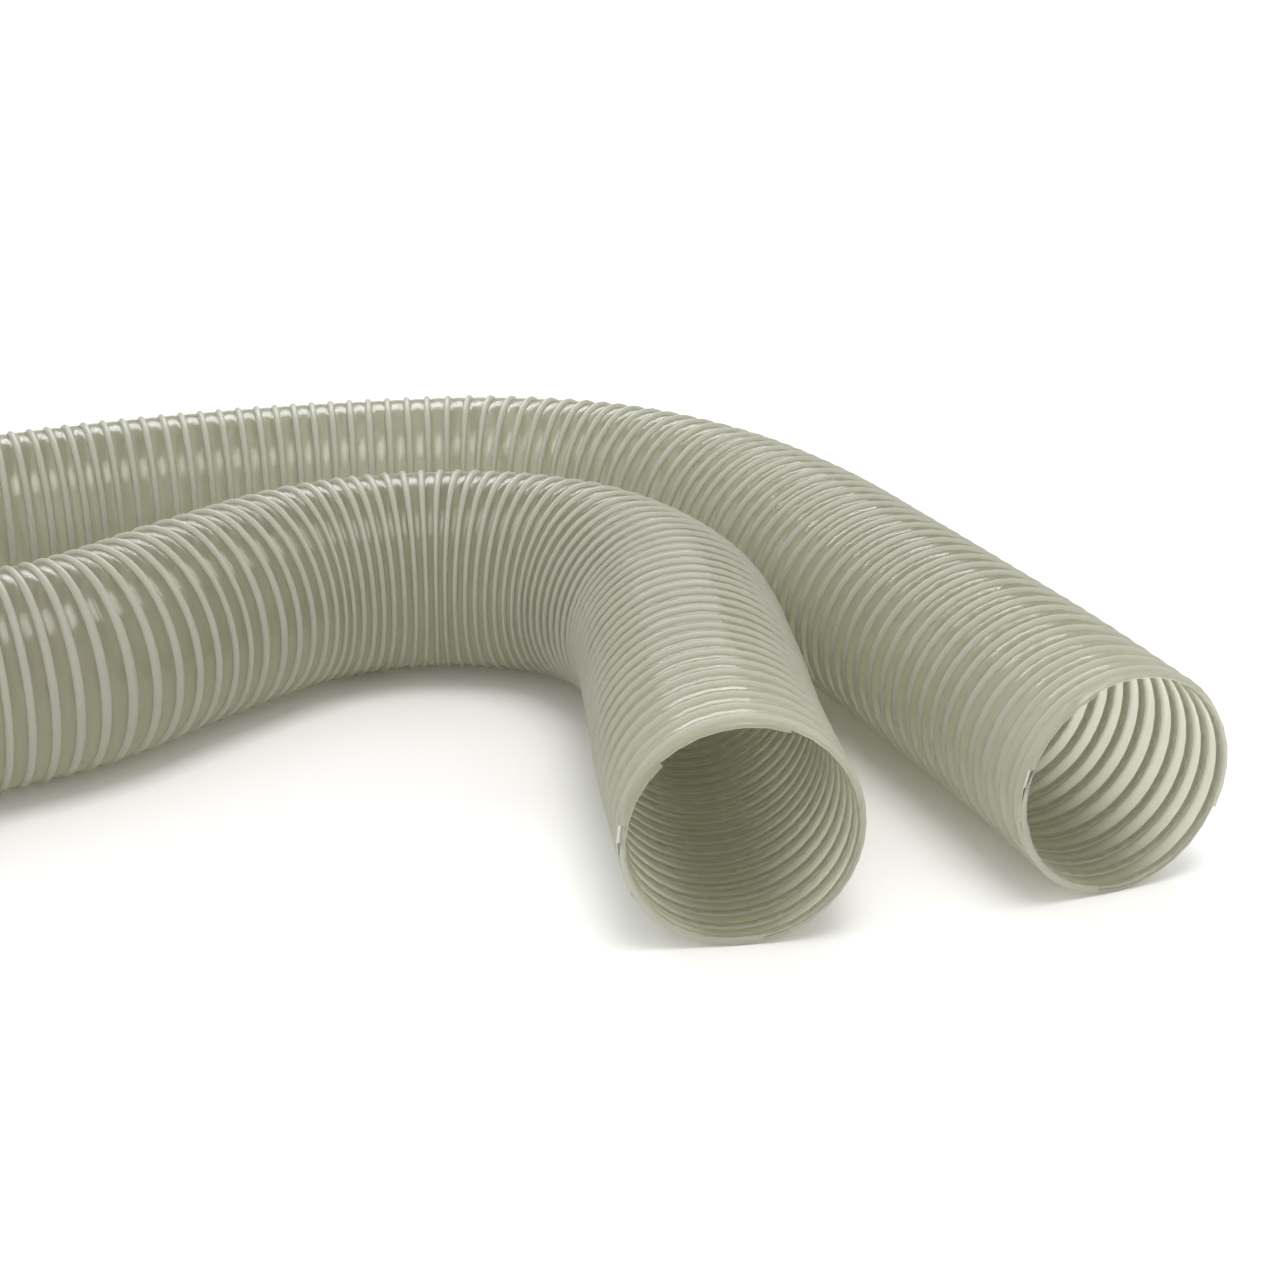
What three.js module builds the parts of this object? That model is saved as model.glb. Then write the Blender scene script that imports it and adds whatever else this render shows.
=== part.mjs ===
// A 4 inch dust collection hose, cut to 10 feet and lying on a level floor.
// It is bent back on itself, so that both of its cut ends face the same way.
//
// The real hose is one piece: a clear, soft wall with a round rib wound along
// it and fused to it. The solid here is the pipe that the ribs' crests touch,
// with the true bore. Millimetres, +Z up, floor at z = 0.
import * as THREE from 'three';

// The section of the hose
const BORE = 101.6; // inner diameter, 4 inches
const WALL = 3.7; // from the bore to the crest of a rib
const SIDES = 20; // flats around the section

// The route of the hose along the floor, from one cut end to the other.
// The points lie 75 to 86 mm apart, chosen by hand to follow the bends.
const ROUTE = [
  // From the near cut end, back and around the tight bend
  [426, -174], [415, -93], [408, -17], [395, 58], [350, 117], [277, 137],
  // The stretch that runs away to the left
  [205, 116], [150, 65], [99, 8], [34, -32], [-30, -73], [-90, -120],
  [-149, -167], [-211, -212], [-279, -249],
  // The wide loop that turns the hose back
  [-355, -273], [-437, -272], [-515, -242], [-572, -180], [-595, -97],
  [-576, -14], [-524, 54], [-455, 100], [-378, 128],
  // The stretch that comes back behind the first one
  [-299, 143], [-222, 151], [-147, 159], [-72, 173], [0, 197], [71, 227],
  [143, 251], [217, 268],
  // The last bend, to the far cut end
  [293, 276], [367, 259], [428, 215], [473, 154], [507, 85], [539, 16],
  [570, -53], [599, -127],
];
const STEPS_PER_POINT = 2; // cross-sections for each stretch between two points

// A regular polygon with this inner circle and a flat at its top and bottom
function polygon(shape, acrossFlats) {
  const corner = acrossFlats / 2 / Math.cos(Math.PI / SIDES);
  for (let i = 0; i < SIDES; i += 1) {
    const angle = ((i + 0.5) * 2 * Math.PI) / SIDES;
    const x = corner * Math.cos(angle);
    const y = corner * Math.sin(angle);
    if (i === 0) shape.moveTo(x, y);
    else shape.lineTo(x, y);
  }
  shape.closePath();
  return shape;
}

// The hose's section, a ring between the bore and the crests of the ribs
function hoseSection() {
  const section = polygon(new THREE.Shape(), BORE + 2 * WALL);
  section.holes.push(polygon(new THREE.Path(), BORE));
  return section;
}

// The centre line lies half the outer diameter above the floor
function centreLine() {
  const height = BORE / 2 + WALL;
  const points = ROUTE.map(([x, y]) => new THREE.Vector3(x, y, height));
  const curve = new THREE.CatmullRomCurve3(points, false, 'catmullrom', 0.5);
  curve.arcLengthDivisions = 2000;
  return curve;
}

// The hose itself, in the clear grey of its wall
function hose() {
  const geometry = new THREE.ExtrudeGeometry(hoseSection(), {
    steps: STEPS_PER_POINT * (ROUTE.length - 1),
    extrudePath: centreLine(),
    bevelEnabled: false,
  });
  const material = new THREE.MeshStandardMaterial({
    color: 0x9a9687,
    roughness: 0.3,
    metalness: 0,
  });
  const mesh = new THREE.Mesh(geometry, material);
  mesh.name = 'hose';
  return mesh;
}

const group = new THREE.Group();
group.add(hose());

export default group;
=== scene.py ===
# %% [markdown]
# # A clear dust collection hose
#
# This lesson dresses one object: a clear 4 inch hose with a white spiral rib,
# lying on a floor and bent back on itself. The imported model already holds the
# hose as one smooth, hollow pipe. It is loaded first and stays the frame for
# everything else, so every size here is in metres in that same frame.

# %% Load the frame
import math

import bmesh
import bpy
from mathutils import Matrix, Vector


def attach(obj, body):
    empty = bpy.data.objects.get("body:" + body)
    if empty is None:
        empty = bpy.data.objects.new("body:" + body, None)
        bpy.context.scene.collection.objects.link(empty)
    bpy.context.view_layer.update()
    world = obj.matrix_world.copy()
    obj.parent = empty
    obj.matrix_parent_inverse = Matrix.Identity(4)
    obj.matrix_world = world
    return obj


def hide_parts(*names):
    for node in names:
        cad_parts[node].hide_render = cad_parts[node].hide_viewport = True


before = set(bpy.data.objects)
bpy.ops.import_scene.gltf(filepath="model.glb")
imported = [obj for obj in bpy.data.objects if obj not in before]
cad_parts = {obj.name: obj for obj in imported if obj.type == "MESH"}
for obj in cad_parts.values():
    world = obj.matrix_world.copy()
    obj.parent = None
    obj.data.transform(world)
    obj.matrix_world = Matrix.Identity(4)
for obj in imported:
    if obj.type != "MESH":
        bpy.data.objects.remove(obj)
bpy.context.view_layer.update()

# %% [markdown]
# ## The sizes that drive the hose
#
# A real hose of this kind is wound, not moulded as a tube: a strip of clear
# film with a stiff rib along one edge is wrapped round a mandrel, and each
# turn is welded to the last. So a few sizes rule all of it: the bore, the
# thickness of the film, the section of the rib, and how far apart the turns
# lie.

# %% Sizes of the section
BORE_RADIUS = 0.0508
FILM_THICKNESS = 0.0008
FILM_BULGE = 0.0017  # how far the film stands out halfway between two ribs
RIB_WIDTH = 0.0042
RIB_CREST_RADIUS = 0.0545  # from the centre line to the top of the rib
RIB_ROOT = 0.0004  # how deep the rib is sunk in the film

film_radius = BORE_RADIUS + FILM_THICKNESS
axis_height = RIB_CREST_RADIUS  # the hose lies on the crests of its ribs
relief = RIB_CREST_RADIUS - film_radius - FILM_BULGE
print("The rib stands", round(1000 * relief, 2), "mm proud of the film")

# %% [markdown]
# ## The route along the floor
#
# The hose is a long flexible thing, so its shape is a path. These are the
# same points as in the model's source, 75 to 86 mm apart. They weren't picked
# by hand: a fit to the outlines of the hose gave the stretches in view, and
# a solver gave the wide loop, as the curve that bends least. They were then
# rounded to millimetres, and a few were moved.
#
# A Bezier spline runs through them. Its handles are a sixth of the way
# between the neighbours of each point, which is the Catmull-Rom rule, so the
# curve is smooth and equals the one that the pipe was swept along.

# %% The route's points
ROUTE = [
    # From the near cut end, back and around the tight bend
    (0.426, -0.174), (0.415, -0.093), (0.408, -0.017), (0.395, 0.058),
    (0.350, 0.117), (0.277, 0.137),
    # The stretch that runs away to the left
    (0.205, 0.116), (0.150, 0.065), (0.099, 0.008), (0.034, -0.032),
    (-0.030, -0.073), (-0.090, -0.120), (-0.149, -0.167), (-0.211, -0.212),
    (-0.279, -0.249),
    # The wide loop that turns the hose back
    (-0.355, -0.273), (-0.437, -0.272), (-0.515, -0.242), (-0.572, -0.180),
    (-0.595, -0.097), (-0.576, -0.014), (-0.524, 0.054), (-0.455, 0.100),
    (-0.378, 0.128),
    # The stretch that comes back behind the first one
    (-0.299, 0.143), (-0.222, 0.151), (-0.147, 0.159), (-0.072, 0.173),
    (0.000, 0.197), (0.071, 0.227), (0.143, 0.251), (0.217, 0.268),
    # The last bend, to the far cut end
    (0.293, 0.276), (0.367, 0.259), (0.428, 0.215), (0.473, 0.154),
    (0.507, 0.085), (0.539, 0.016), (0.570, -0.053), (0.599, -0.127),
]


def route_points():
    """The route's points in space, with one more point beyond each end."""
    points = [Vector((x, y, axis_height)) for x, y in ROUTE]
    before = 2 * points[0] - points[1]
    after = 2 * points[-1] - points[-2]
    return [before, *points, after]


print("The route has", len(ROUTE), "points")

# %% [markdown]
# The route is needed twice: as a curve that Geometry Nodes can sample, and
# as a list of points from which its length is added up.

# %% The route as a curve and as samples
CURVE_RESOLUTION = 16  # straight pieces between two points of the route
SAMPLES_PER_POINT = 12


def make_route():
    """A Bezier curve through the route's points."""
    points = route_points()
    data = bpy.data.curves.new("route", "CURVE")
    data.dimensions = "3D"
    spline = data.splines.new("BEZIER")
    spline.bezier_points.add(len(ROUTE) - 1)
    spline.resolution_u = CURVE_RESOLUTION
    for i, point in enumerate(spline.bezier_points):
        reach = (points[i + 2] - points[i]) / 6
        point.co = points[i + 1]
        point.handle_left_type = "FREE"
        point.handle_right_type = "FREE"
        point.handle_left = points[i + 1] - reach
        point.handle_right = points[i + 1] + reach
    curve = bpy.data.objects.new("route", data)
    bpy.context.scene.collection.objects.link(curve)
    return curve


def sample_route():
    """Points along the route by the same Catmull-Rom rule."""
    points = route_points()
    samples = []
    for a, b, c, d in zip(points, points[1:], points[2:], points[3:]):
        for step in range(SAMPLES_PER_POINT):
            t = step / SAMPLES_PER_POINT
            start = (2 * t**3 - 3 * t**2 + 1) * b + (t**3 - 2 * t**2 + t) * (c - a) / 2
            end = (3 * t**2 - 2 * t**3) * c + (t**3 - t**2) * (d - b) / 2
            samples.append(start + end)
    samples.append(points[-2])
    return samples


route = make_route()
centre_line = sample_route()
route_length = sum((b - a).length for a, b in zip(centre_line, centre_line[1:]))
print("The route is", round(route_length, 3), "m long")

# %% [markdown]
# ## The camera
#
# The camera is set early, because what it sees of the hose matters for the
# rest: it looks down at the two cut ends from a little above, and the loop
# of the hose lies beyond the left edge of its view. The pose and the lens
# were worked out from the outlines of the hose.

# %% The camera
CAMERA_PLACE = (0.382, -1.019, 0.5087)
CAMERA_PITCH = math.radians(23.29)  # below the horizon
CAMERA_LENS = 63.1  # millimetres, on a sensor 36 mm wide


def make_camera():
    data = bpy.data.cameras.new("camera")
    data.sensor_width = 36.0
    data.lens = CAMERA_LENS
    data.clip_start = 0.05
    data.clip_end = 50.0
    camera = bpy.data.objects.new("camera", data)
    bpy.context.scene.collection.objects.link(camera)
    camera.location = CAMERA_PLACE
    camera.rotation_euler = (math.pi / 2 - CAMERA_PITCH, 0, 0)
    bpy.context.scene.camera = camera


make_camera()
print("The camera stands", round(CAMERA_PLACE[2], 2), "m above the floor")

# %% [markdown]
# ## How far apart the turns lie
#
# The turns of the rib aren't evenly spaced on a hose that has been handled:
# they stay pulled out near its ends and pushed together around its tight
# bend. So the turns are counted along the hose, starting on its right side:
# each mark says how far from the near end that many turns end. The marks are
# rounded from measured places of the ribs, and even out where none is seen.
# The first turn starts a little before the end and is cut through there.

# %% Where the turns lie
MARKS = [  # (turns, metres from the near cut end)
    (0, -0.007), (2, 0.014), (4, 0.038), (6, 0.061), (8, 0.082), (10, 0.102),
    (14, 0.144), (18, 0.184), (20, 0.204), (24, 0.243), (28, 0.281),
    (32, 0.321), (36, 0.355), (40, 0.389), (44, 0.425), (48, 0.457),
    (52, 0.496), (56, 0.538), (60, 0.585), (64, 0.626), (66, 0.646),
    (141, 1.441), (216, 2.236), (221, 2.288), (227, 2.355), (233, 2.420),
    (237, 2.465), (240, 2.501), (245, 2.559), (250, 2.608), (253, 2.641),
    (256, 2.677), (260, 2.718), (264, 2.764), (268, 2.811), (272, 2.859),
    (276, 2.908), (279, 2.945), (282, 2.981), (285, 3.020), (287, 3.044),
    (289, 3.069),
]

turn_count = MARKS[-1][0]
mean_spacing = (MARKS[-1][1] - MARKS[0][1]) / turn_count
print("The turns lie", round(1000 * mean_spacing, 1), "mm apart on average")

# %% [markdown]
# ## A small helper for node trees
#
# The rib and the film are both made with Geometry Nodes, because both repeat
# a few hundred times along a path, and their finishes are node trees too.
# Each tree is built in code: one call adds a node, sets its properties and
# plugs in its inputs, so a tree can be read from top to bottom.

# %% Helpers for node trees
def add_node(tree, kind, inputs=None, **properties):
    """One node; inputs maps a socket's name or index to a value or an output."""
    node = tree.nodes.new(kind)
    for name, value in properties.items():
        setattr(node, name, value)
    for key, value in (inputs or {}).items():
        plug(tree, node.inputs[key], value)
    return node


def plug(tree, socket, value):
    """Links an output to a socket, or sets a plain value on it."""
    if isinstance(value, bpy.types.NodeSocket):
        tree.links.new(value, socket)
    else:
        socket.default_value = value


def calculate(tree, operation, first, second=0.0, third=0.0):
    """The output of one Math node."""
    inputs = {0: first, 1: second, 2: third}
    return add_node(tree, "ShaderNodeMath", inputs, operation=operation).outputs[0]


def combine(tree, operation, first, second):
    """The vector output of one Vector Math node, or a vector times a number for SCALE."""
    other = "Scale" if operation == "SCALE" else 1
    node = add_node(tree, "ShaderNodeVectorMath", {0: first, other: second}, operation=operation)
    return node.outputs["Vector"]


def new_group(name, inputs, outputs):
    """An empty node group with named sockets."""
    tree = bpy.data.node_groups.new(name, "GeometryNodeTree")
    for direction, sockets in (("INPUT", inputs), ("OUTPUT", outputs)):
        for socket_name, kind in sockets.items():
            tree.interface.new_socket(socket_name, in_out=direction, socket_type="NodeSocket" + kind)
    given = tree.nodes.new("NodeGroupInput").outputs
    result = tree.nodes.new("NodeGroupOutput").inputs
    return tree, given, result


print("The helpers are ready")

# %% [markdown]
# ## From turns to a distance
#
# A Float Curve can hold any smooth relation between two numbers. Here it
# turns a share of the turns into a share of the length, from the marks. It
# runs on in a straight line before 0 and after 1. A little noise then makes
# the turns wander by a few tenths of a millimetre, as on a hose that has
# been used.

# %% The group that gives the distance of a turn
WANDER = 0.0003  # how far a turn may stray along the hose
WANDERS_PER_TURN = 1.3


def distance_group():
    tree, given, result = new_group("Distance of a turn", {"Turn": "Float"}, {"Distance": "Float"})
    share = calculate(tree, "DIVIDE", given["Turn"], float(turn_count))
    lookup = add_node(tree, "ShaderNodeFloatCurve", {"Value": share})
    line = lookup.mapping.curves[0]
    line.points[0].location = (0.0, MARKS[0][1] / route_length)
    line.points[-1].location = (1.0, MARKS[-1][1] / route_length)
    for turns, distance in MARKS[1:-1]:
        line.points.new(turns / turn_count, distance / route_length)
    lookup.mapping.use_clip = False
    lookup.mapping.update()
    noise = add_node(
        tree, "ShaderNodeTexNoise", {"W": given["Turn"], "Scale": WANDERS_PER_TURN, "Detail": 1.0},
        noise_dimensions="1D",
    )
    stray = calculate(tree, "MULTIPLY_ADD", noise.outputs[0], 2 * WANDER, -WANDER)
    distance = calculate(tree, "MULTIPLY_ADD", lookup.outputs[0], route_length, stray)
    tree.links.new(distance, result["Distance"])
    return tree


distance_of_turn = distance_group()
print("The distance group has", len(distance_of_turn.nodes), "nodes")

# %% [markdown]
# ## Winding a point round the route
#
# Both pieces need the same question answered: where in space is a point that
# lies so many turns along the winding, at this radius? This group answers
# it. Sample Curve gives the place and the direction at the point's distance,
# and the angle swings the point round the curve. The winding is left-handed:
# seen along the route, it climbs on the right side.
#
# The distance stops at both ends of the route, and that cuts the winding off
# flat there. Whatever lies wholly beyond an end is reported as outside, so
# that its faces can be deleted.

# %% The group that places a point
def winding_group():
    tree, given, result = new_group(
        "Point on the winding",
        {"Route": "Object", "Turn": "Float", "Round": "Float", "Radius": "Float", "Shift": "Float",
         "Margin": "Float"},
        {"Position": "Vector", "Outside": "Bool"},
    )
    distance = add_node(
        tree, "GeometryNodeGroup", {"Turn": given["Turn"]}, node_tree=distance_of_turn
    ).outputs[0]
    moved = calculate(tree, "ADD", distance, given["Shift"])
    kept = calculate(tree, "MINIMUM", calculate(tree, "MAXIMUM", moved, 0.0), route_length)

    before = calculate(tree, "LESS_THAN", calculate(tree, "ADD", distance, given["Margin"]), 0.0)
    past_end = calculate(tree, "SUBTRACT", distance, given["Margin"])
    after = calculate(tree, "GREATER_THAN", past_end, route_length)
    tree.links.new(calculate(tree, "MAXIMUM", before, after), result["Outside"])

    source = add_node(tree, "GeometryNodeObjectInfo", {"Object": given["Route"]})
    sample = add_node(
        tree, "GeometryNodeSampleCurve", {"Curves": source.outputs["Geometry"], "Length": kept},
        mode="LENGTH",
    )
    crossed = combine(tree, "CROSS_PRODUCT", sample.outputs["Tangent"], (0.0, 0.0, 1.0))
    side = add_node(tree, "ShaderNodeVectorMath", {0: crossed}, operation="NORMALIZE").outputs["Vector"]
    angle = calculate(tree, "MULTIPLY", given["Round"], 2 * math.pi)
    sideways = calculate(tree, "MULTIPLY", calculate(tree, "COSINE", angle), given["Radius"])
    height = calculate(tree, "MULTIPLY", calculate(tree, "SINE", angle), given["Radius"])
    upwards = add_node(tree, "ShaderNodeCombineXYZ", {"Z": height}).outputs[0]
    offset = combine(tree, "ADD", combine(tree, "SCALE", side, sideways), upwards)
    tree.links.new(combine(tree, "ADD", sample.outputs["Position"], offset), result["Position"])
    return tree


winding = winding_group()
print("The winding group has", len(winding.nodes), "nodes")

# %% [markdown]
# ## Rolling a flat grid up
#
# Each piece starts as a flat grid: its length counts turns and its width
# runs across one turn. The grid is then moved point by point onto the hose.
# Before it moves, its flat coordinates are kept as a UV map, so a material
# can later tell how far along and how far across the winding it is. After
# it moves, points that meet are welded, so that one turn joins the next.

# %% The tree that winds a grid
WELD = 0.00002


def winding_tree(name, across, shape):
    """A tree whose grid is `across` faces wide; shape() says where a grid point goes."""
    tree, given, result = new_group(
        name,
        {"Geometry": "Geometry", "Route": "Object", "First turn": "Float", "Turns": "Float",
         "Steps per turn": "Int", "Width": "Float", "Radius": "Float", "Height": "Float",
         "Material": "Material"},
        {"Geometry": "Geometry"},
    )
    steps = calculate(tree, "MULTIPLY_ADD", given["Turns"], given["Steps per turn"], 1.0)
    grid = add_node(
        tree, "GeometryNodeMeshGrid",
        {"Size X": given["Turns"], "Size Y": 1.0, "Vertices X": steps, "Vertices Y": across + 1},
    )
    position = add_node(tree, "GeometryNodeInputPosition").outputs[0]
    flat = add_node(tree, "ShaderNodeSeparateXYZ", {0: position})
    middle = calculate(tree, "MULTIPLY_ADD", given["Turns"], 0.5, given["First turn"])
    turn = calculate(tree, "ADD", flat.outputs["X"], middle)
    over = calculate(tree, "ADD", flat.outputs["Y"], 0.5)
    unrolled = add_node(tree, "ShaderNodeCombineXYZ", {"X": turn, "Y": over})
    stored = add_node(
        tree, "GeometryNodeStoreNamedAttribute",
        {"Geometry": grid.outputs["Mesh"], "Name": "UVMap", "Value": unrolled.outputs[0]},
        data_type="FLOAT2", domain="CORNER",
    )
    place = add_node(tree, "GeometryNodeGroup", node_tree=winding)
    sockets = {"Route": given["Route"], "Round": turn, **shape(tree, given, turn, over)}
    for socket_name, value in sockets.items():
        plug(tree, place.inputs[socket_name], value)
    cut = add_node(
        tree, "GeometryNodeDeleteGeometry",
        {"Geometry": stored.outputs[0], "Selection": place.outputs["Outside"]}, domain="FACE",
    )
    rolled = add_node(
        tree, "GeometryNodeSetPosition", {"Geometry": cut.outputs[0], "Position": place.outputs["Position"]}
    )
    welded = add_node(
        tree, "GeometryNodeMergeByDistance", {"Geometry": rolled.outputs[0], "Distance": WELD}
    )
    smooth = add_node(tree, "GeometryNodeSetShadeSmooth", {"Geometry": welded.outputs[0]})
    real = add_node(tree, "GeometryNodeRealizeInstances", {"Geometry": smooth.outputs[0]})
    painted = add_node(
        tree, "GeometryNodeSetMaterial", {"Geometry": real.outputs[0], "Material": given["Material"]}
    )
    tree.links.new(painted.outputs[0], result["Geometry"])
    return tree


print("A winding tree can be built for any section")

# %% [markdown]
# ## The film
#
# The film fills the space between two turns of the rib. Its grid runs from
# this turn to the next one, so a point that is a share of the way across
# takes its distance from the same share of a turn. Its own edges then meet
# exactly, and the weld closes them. It leaves the rib steeply and is nearly
# level in between, as soft film is that the ribs hold out.
#
# At a cut end the rib is cut away over most of a turn. The film beyond the
# last rib has nothing to hold it out there, so it curls in towards the
# middle, and the more so the further it reaches.

# %% The shape of the film
FILM_ACROSS = 5
FILM_STEPS = 32
FILM_FULLNESS = 3.0  # the higher, the more level the film between two ribs
NEAR_CURL = 60.0  # curl of the free film, for each metre that it reaches, squared
FAR_CURL = 18.0
HOLD = 0.004  # how far beyond the end a cut rib still holds the film


def turn_distance(tree, turn):
    return add_node(tree, "GeometryNodeGroup", {"Turn": turn}, node_tree=distance_of_turn).outputs[0]


def curl(tree, beyond, reach, strength):
    """How far the free film curls in, where its rib lies beyond the end."""
    free = add_node(
        tree, "ShaderNodeMapRange", {"Value": beyond, "From Max": HOLD}, interpolation_type="SMOOTHSTEP"
    ).outputs[0]
    squared = calculate(tree, "MULTIPLY", reach, reach)
    return calculate(tree, "MULTIPLY", calculate(tree, "MULTIPLY", squared, strength), free)


def film_shape(tree, given, turn, over):
    later = calculate(tree, "ADD", turn, over)
    from_middle = calculate(tree, "ABSOLUTE", calculate(tree, "MULTIPLY_ADD", over, 2.0, -1.0))
    fall = calculate(tree, "POWER", from_middle, FILM_FULLNESS)
    arch = calculate(tree, "SUBTRACT", 1.0, fall)
    held = calculate(tree, "MULTIPLY_ADD", arch, given["Height"], given["Radius"])

    this_rib = turn_distance(tree, turn)
    next_rib = turn_distance(tree, calculate(tree, "ADD", turn, 1.0))
    width = calculate(tree, "SUBTRACT", next_rib, this_rib)
    to_next = calculate(tree, "MULTIPLY", calculate(tree, "SUBTRACT", 1.0, over), width)
    near = curl(tree, calculate(tree, "MULTIPLY", this_rib, -1.0), to_next, NEAR_CURL)
    to_this = calculate(tree, "MULTIPLY", over, width)
    far = curl(tree, calculate(tree, "SUBTRACT", next_rib, route_length), to_this, FAR_CURL)
    radius = calculate(tree, "SUBTRACT", calculate(tree, "SUBTRACT", held, near), far)
    return {"Turn": later, "Radius": radius}


film_tree = winding_tree("Film", FILM_ACROSS, film_shape)
print("The film's tree has", len(film_tree.nodes), "nodes")

# %% [markdown]
# ## The rib
#
# The rib's section is an arch with a flat foot. Going across the grid, the
# point climbs over the arch, and the last row of faces closes the foot. A
# power below 1 makes the arch a little squarer than a half circle.

# %% The shape of the rib
RIB_ACROSS = 7  # six faces over the arch, and one across the foot
RIB_STEPS = 40
RIB_SQUARENESS = 0.75


def rib_shape(tree, given, turn, over):
    on_arch = calculate(tree, "LESS_THAN", over, 1.0 - 0.5 / RIB_ACROSS)
    climb = calculate(tree, "MULTIPLY", over, math.pi * RIB_ACROSS / (RIB_ACROSS - 1))
    angle = calculate(tree, "MULTIPLY", climb, on_arch)
    half_width = calculate(tree, "MULTIPLY", given["Width"], 0.5)
    shift = calculate(tree, "MULTIPLY", calculate(tree, "COSINE", angle), half_width)
    rise = calculate(tree, "MAXIMUM", calculate(tree, "SINE", angle), 0.0)
    arch = calculate(tree, "POWER", rise, RIB_SQUARENESS)
    radius = calculate(tree, "MULTIPLY_ADD", arch, given["Height"], given["Radius"])
    return {"Turn": turn, "Radius": radius, "Shift": shift, "Margin": half_width}


rib_tree = winding_tree("Rib", RIB_ACROSS, rib_shape)
print("The rib's tree has", len(rib_tree.nodes), "nodes")

# %% [markdown]
# ## Materials
#
# Every finish here is built from nodes on the Principled shader. A helper
# starts one, and others give the texture patterns that they share. Cloudy
# patches use the hose's own space. Streaks use the UV map that was kept when
# the winding was rolled up, so they run with it round the hose.

# %% Helpers for textures
def new_material(name):
    material = bpy.data.materials.new(name)
    material.use_nodes = True
    tree = material.node_tree
    return material, tree, tree.nodes["Principled BSDF"]


def cloudy(tree, scale):
    """Smooth noise in the hose's own space, 0 to 1."""
    place = add_node(tree, "ShaderNodeTexCoord").outputs["Object"]
    return add_node(
        tree, "ShaderNodeTexNoise", {"Vector": place, "Scale": scale, "Detail": 3.0, "Roughness": 0.5}
    ).outputs[0]


def winding_place(tree):
    """How many turns along and how far across the winding a point is."""
    unrolled = add_node(tree, "ShaderNodeUVMap", uv_map="UVMap").outputs[0]
    parts = add_node(tree, "ShaderNodeSeparateXYZ", {0: unrolled})
    return parts.outputs["X"], parts.outputs["Y"]


def streaks(tree, per_turn, across):
    """Noise drawn out along the winding, 0 to 1."""
    turn, over = winding_place(tree)
    along = calculate(tree, "MULTIPLY", turn, per_turn)
    sideways = calculate(tree, "MULTIPLY", over, across)
    drawn = add_node(tree, "ShaderNodeCombineXYZ", {"X": along, "Y": sideways}).outputs[0]
    return add_node(tree, "ShaderNodeTexNoise", {"Vector": drawn, "Scale": 1.0, "Detail": 2.0}).outputs[0]


print("The texture helpers are ready")

# %% [markdown]
# Two more helpers mix values and colours, and a third lets light through. A
# Translucent shader passes light on in all directions, as wax paper does. It
# is mixed with the Principled shader, and that lights the hose from within.

# %% Helpers for mixing
def blend(tree, factor, low, high):
    """A colour between two others."""
    return add_node(
        tree, "ShaderNodeMix", {"Factor": factor, "A": low, "B": high}, data_type="RGBA"
    ).outputs["Result"]


def between(tree, value, low, high, start=0.0, end=1.0):
    """A value carried from the range low to high over to the range start to end."""
    return add_node(
        tree, "ShaderNodeMapRange",
        {"Value": value, "From Min": low, "From Max": high, "To Min": start, "To Max": end},
    ).outputs[0]


def let_light_through(tree, shader, share, color):
    """Mixes a translucent shader into the material."""
    through = add_node(tree, "ShaderNodeBsdfTranslucent", {"Color": color}).outputs[0]
    mixed = add_node(tree, "ShaderNodeMixShader", {0: share, 1: shader.outputs[0], 2: through})
    tree.links.new(mixed.outputs[0], tree.nodes["Material Output"].inputs["Surface"])


print("The mixing helpers are ready")

# %% [markdown]
# ## The smoky film
#
# The film is soft clear plastic that has gone smoky. Part of the light goes
# straight through it, which is Alpha, and part comes through scattered. Its
# colour is a greyish green around both bends. It turns to a dull brown in the
# wide loop and towards the far end, where the hose has been handled most. A
# few dark flecks of dust cling to it: they are the cells of a Voronoi
# texture, each shrunk to a dot.
#
# Its shine isn't one even patch, because the film was pulled while it was
# soft. Bump from long fine streaks breaks it into lines beside the ribs.

# %% The film's material
LOOP_TURNS = (36.0, 58.0, 228.0, 254.0)  # the loop's brown starts, is full, fades and ends
END_TURNS = (258.0, 289.0)  # the far end's brown starts and is full
FLECK_SCALE = 24.0  # cells to a metre
FLECK_SIZE = 0.018  # in cells


def film_color(tree):
    clouds = cloudy(tree, 16.0)
    green = blend(tree, clouds, (0.13, 0.135, 0.085, 1), (0.22, 0.225, 0.16, 1))
    brown = blend(tree, clouds, (0.05, 0.04, 0.025, 1), (0.14, 0.12, 0.09, 1))
    turn = winding_place(tree)[0]
    into_loop = between(tree, turn, LOOP_TURNS[0], LOOP_TURNS[1])
    out_of_loop = between(tree, turn, LOOP_TURNS[3], LOOP_TURNS[2])
    in_loop = calculate(tree, "MULTIPLY", into_loop, out_of_loop)
    handled = calculate(tree, "MAXIMUM", in_loop, between(tree, turn, *END_TURNS))
    clean = blend(tree, handled, green, brown)
    place = add_node(tree, "ShaderNodeTexCoord").outputs["Object"]
    cells = add_node(tree, "ShaderNodeTexVoronoi", {"Vector": place, "Scale": FLECK_SCALE})
    clear = between(tree, cells.outputs["Distance"], 0.6 * FLECK_SIZE, FLECK_SIZE)
    return blend(tree, clear, (0.05, 0.035, 0.02, 1), clean)


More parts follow.
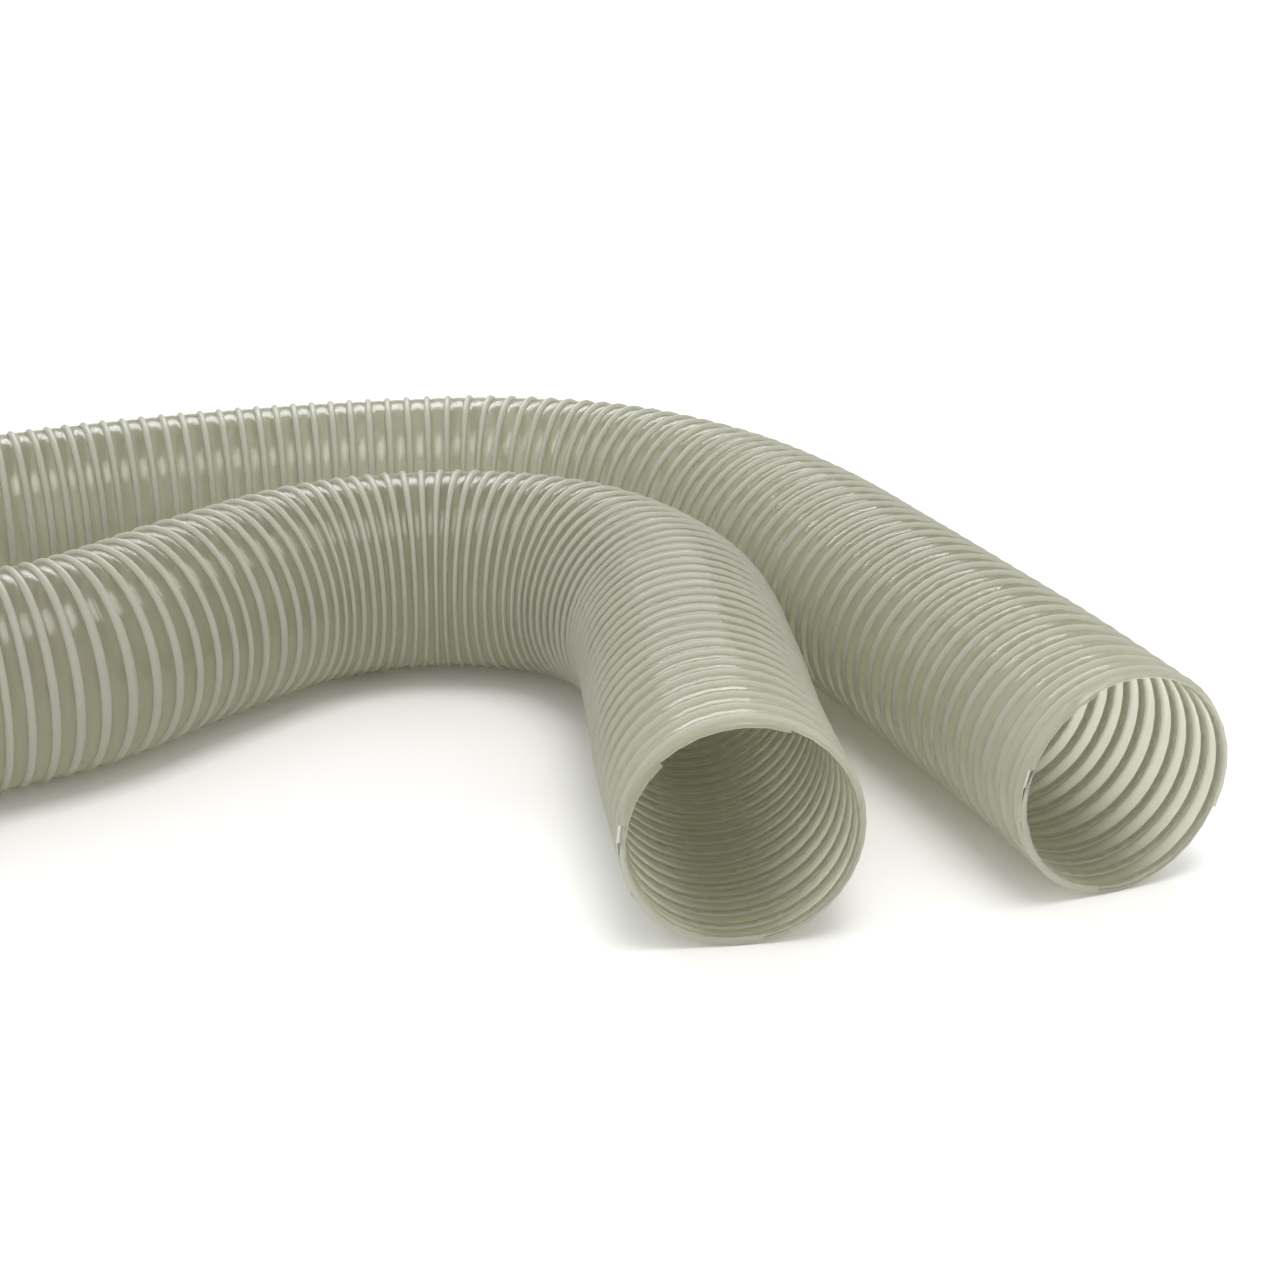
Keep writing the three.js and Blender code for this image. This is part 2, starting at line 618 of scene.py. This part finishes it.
def smoky_film():
    material, tree, shader = new_material("smoky_film")
    plug(tree, shader.inputs["Base Color"], film_color(tree))
    shader.inputs["Roughness"].default_value = 0.17
    shader.inputs["IOR"].default_value = 1.8
    shader.inputs["Specular IOR Level"].default_value = 1.0
    plug(tree, shader.inputs["Alpha"], between(tree, cloudy(tree, 9.0), 0.3, 0.7, 0.40, 0.50))
    lines = streaks(tree, 1.6, 14.0)
    bump = add_node(tree, "ShaderNodeBump", {"Strength": 0.4, "Distance": 0.0004, "Height": lines})
    plug(tree, shader.inputs["Normal"], bump.outputs[0])
    let_light_through(tree, shader, 0.50, (0.96, 0.96, 0.84, 1))
    return material


film_material = smoky_film()
print("Made", film_material.name)

# %% [markdown]
# ## The white rib
#
# The rib is a stiffer, milky plastic with a satin skin. It hides what is
# behind it, but still glows a little where light falls on its back. Fine
# streaks along it are marks of the die that it was pressed through.

# %% The rib's material
def white_rib():
    material, tree, shader = new_material("white_rib")
    clouds = cloudy(tree, 30.0)
    tone = blend(tree, clouds, (0.44, 0.44, 0.38, 1), (0.54, 0.54, 0.48, 1))
    plug(tree, shader.inputs["Base Color"], tone)
    plug(tree, shader.inputs["Roughness"], between(tree, clouds, 0.3, 0.7, 0.32, 0.42))
    shader.inputs["IOR"].default_value = 1.5
    lines = streaks(tree, 12.0, 9.0)
    bump = add_node(tree, "ShaderNodeBump", {"Strength": 0.3, "Distance": 0.0003, "Height": lines})
    plug(tree, shader.inputs["Normal"], bump.outputs[0])
    let_light_through(tree, shader, 0.48, (0.96, 0.96, 0.88, 1))
    return material


rib_material = white_rib()
print("Made", rib_material.name)

# %% [markdown]
# ## The cut edge
#
# A knife leaves the edge of the film rough, and it has picked up dirt, so it
# is browner and duller than the rest.

# %% The cut edge's material
def cut_edge():
    material, tree, shader = new_material("cut_edge")
    dirt = cloudy(tree, 60.0)
    tone = blend(tree, between(tree, dirt, 0.35, 0.65), (0.12, 0.08, 0.05, 1), (0.36, 0.33, 0.25, 1))
    plug(tree, shader.inputs["Base Color"], tone)
    shader.inputs["Roughness"].default_value = 0.5
    grain = cloudy(tree, 900.0)
    bump = add_node(tree, "ShaderNodeBump", {"Strength": 0.6, "Distance": 0.0003, "Height": grain})
    plug(tree, shader.inputs["Normal"], bump.outputs[0])
    let_light_through(tree, shader, 0.25, (0.45, 0.38, 0.26, 1))
    return material


edge_material = cut_edge()
print("Made", edge_material.name)

# %% [markdown]
# ## Winding the film and the rib
#
# A Geometry Nodes tree only runs on an object, so an empty mesh carries it.
# Its sizes are given to the modifier by the identifier of each socket. The
# result is then kept as a plain mesh, and the carrier is thrown away.

# %% Wind a piece
def wind(name, tree, settings):
    """Runs a tree on an empty mesh and keeps the result as a plain mesh object."""
    carrier = bpy.data.objects.new(name + "_maker", bpy.data.meshes.new(name + "_maker"))
    bpy.context.scene.collection.objects.link(carrier)
    modifier = carrier.modifiers.new("Winding", "NODES")
    modifier.node_group = tree
    for socket in tree.interface.items_tree:
        if socket.in_out == "INPUT" and socket.name in settings:
            modifier[socket.identifier] = settings[socket.name]
    depsgraph = bpy.context.evaluated_depsgraph_get()
    made = bpy.data.meshes.new_from_object(carrier.evaluated_get(depsgraph))
    bpy.data.objects.remove(carrier)
    made.name = name
    piece = bpy.data.objects.new(name, made)
    bpy.context.scene.collection.objects.link(piece)
    print(name, "has", len(made.polygons), "faces")
    return piece


TURNS_BEFORE = 2  # turns before the first mark, so that the near cut goes through film
whole = {
    "Route": route, "First turn": -float(TURNS_BEFORE), "Turns": float(turn_count + TURNS_BEFORE),
}
film = wind("clear_wall", film_tree, {
    **whole, "Steps per turn": FILM_STEPS, "Radius": film_radius, "Height": FILM_BULGE,
    "Material": film_material,
})
rib_foot = film_radius - RIB_ROOT
rib = wind("spiral_rib", rib_tree, {
    **whole, "Steps per turn": RIB_STEPS, "Width": RIB_WIDTH, "Radius": rib_foot,
    "Height": RIB_CREST_RADIUS - rib_foot, "Material": rib_material,
})
bpy.data.objects.remove(route)

# %% [markdown]
# ## Closing and turning the meshes
#
# Where the winding was cut, slivers without any area are left. They are
# dissolved, the holes in the rib are filled where that is possible, and all
# faces are turned outwards. What stays open is counted.

# %% Close and turn the meshes
def triangles(piece):
    return sum(len(face.vertices) - 2 for face in piece.data.polygons)


def tidy_mesh(piece, close):
    """Removes slivers, closes holes if asked to, and turns the faces outwards."""
    mesh = bmesh.new()
    mesh.from_mesh(piece.data)
    bmesh.ops.dissolve_degenerate(mesh, dist=WELD / 2, edges=mesh.edges[:])
    if close:
        open_edges = [edge for edge in mesh.edges if edge.is_boundary]
        bmesh.ops.holes_fill(mesh, edges=open_edges, sides=0)
    bmesh.ops.recalc_face_normals(mesh, faces=mesh.faces)
    still_open = sum(1 for edge in mesh.edges if edge.is_boundary)
    mesh.to_mesh(piece.data)
    mesh.free()
    print(piece.name, "has", triangles(piece), "triangles and", still_open, "open edges")


tidy_mesh(film, close=False)
tidy_mesh(rib, close=True)

# %% [markdown]
# ## The thickness of the film
#
# The film is one sheet so far. Solidify gives it a second side towards the
# bore and a rim around both mouths. It comes after the faces were turned,
# because on a closed wall that step would turn the inner side round.

# %% Thicken the film
def thicken(piece, thickness):
    solidify = piece.modifiers.new("Thickness", "SOLIDIFY")
    solidify.thickness = thickness
    solidify.offset = -1.0
    bpy.context.view_layer.update()
    depsgraph = bpy.context.evaluated_depsgraph_get()
    made = bpy.data.meshes.new_from_object(piece.evaluated_get(depsgraph))
    piece.modifiers.remove(solidify)
    piece.data = made


thicken(film, FILM_THICKNESS)
print(film.name, "has", triangles(film), "triangles with its thickness")

# %% [markdown]
# ## The cut ends
#
# The faces that lie in the two cut planes get the duller finish. A face
# belongs to a cut when it is near the plane and looks along the hose.

# %% Mark the cut faces
CUT_DEPTH = 0.0012
CUT_FACING = 0.8  # how squarely a face must look along the hose to be part of the cut


def mark_cut_faces(piece):
    """Gives the faces in the two cut planes the material of a cut edge."""
    piece.data.materials.append(edge_material)
    ends = [
        (centre_line[0], (centre_line[1] - centre_line[0]).normalized()),
        (centre_line[-1], (centre_line[-2] - centre_line[-1]).normalized()),
    ]
    marked = 0
    for face in piece.data.polygons:
        for place, inwards in ends:
            offset = face.center - place
            in_plane = offset.length < 2 * BORE_RADIUS and abs(offset.dot(inwards)) < CUT_DEPTH
            if in_plane and abs(face.normal.dot(inwards)) > CUT_FACING:
                face.material_index = 1
                marked += 1
    print(piece.name, "has", marked, "cut faces")


mark_cut_faces(film)
mark_cut_faces(rib)

# %% [markdown]
# ## What the pieces are
#
# Both pieces ride on the one body of the model and stand for its pipe, which is hidden.

# %% Attach the pieces and hide the pipe
for piece, slot in ((film, "clear_wall"), (rib, "white_rib")):
    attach(piece, "root")
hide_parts("hose")
print("The hose is declared with a length of", round(route_length, 3), "m")

# %% [markdown]
# ## The floor
#
# The hose lies on a plain pale floor, wide enough to fill the view.

# %% The floor
FLOOR_REACH = 12.0
FLOOR_CORNERS = [(-1, -1), (1, -1), (1, 1), (-1, 1)]


def make_floor():
    mesh = bpy.data.meshes.new("floor")
    corners = [(FLOOR_REACH * x, FLOOR_REACH * y, 0.0) for x, y in FLOOR_CORNERS]
    mesh.from_pydata(corners, [], [(0, 1, 2, 3)])
    floor = bpy.data.objects.new("floor", mesh)
    bpy.context.scene.collection.objects.link(floor)
    material, tree, shader = new_material("pale_floor")
    shader.inputs["Base Color"].default_value = (0.92, 0.92, 0.92, 1)
    shader.inputs["Roughness"].default_value = 0.8
    mesh.materials.append(material)


make_floor()
print("The floor is", 2 * FLOOR_REACH, "m wide")

# %% [markdown]
# ## The light
#
# A bright even surround does most of the work, so shadows stay pale. A soft
# lamp overhead models the ribs. A wide one behind the hose glances off the
# tight bend and the straight stretch beside it, and makes their shine.

# %% The light
LAMPS = [  # name, place, size, watts, tint
    ("overhead", (0.6, -0.4, 2.2), (1.3, 1.0), 22, (1.0, 0.97, 0.93)),
    ("behind", (-0.2, 3.0, 1.6), (2.4, 0.9), 62, (0.95, 0.98, 1.0)),
]
LAMP_TARGET = (0.2, 0.0, 0.0)
SURROUND_STRENGTH = 0.88


def make_light(name, place, size, power, tint):
    data = bpy.data.lights.new(name, "AREA")
    data.shape = "RECTANGLE"
    data.size, data.size_y = size
    data.energy = power
    data.color = tint
    light = bpy.data.objects.new(name, data)
    light.location = place
    towards = Vector(LAMP_TARGET) - Vector(place)
    light.rotation_euler = towards.to_track_quat("-Z", "Y").to_euler()
    bpy.context.scene.collection.objects.link(light)


for lamp in LAMPS:
    make_light(*lamp)
world = bpy.data.worlds.new("studio")
world.use_nodes = True
surround = world.node_tree.nodes["Background"]
surround.inputs["Color"].default_value = (1.0, 1.0, 1.0, 1)
surround.inputs["Strength"].default_value = SURROUND_STRENGTH
bpy.context.scene.world = world
bpy.context.scene.view_settings.view_transform = "Standard"
print("Two lamps and a bright surround light the hose")
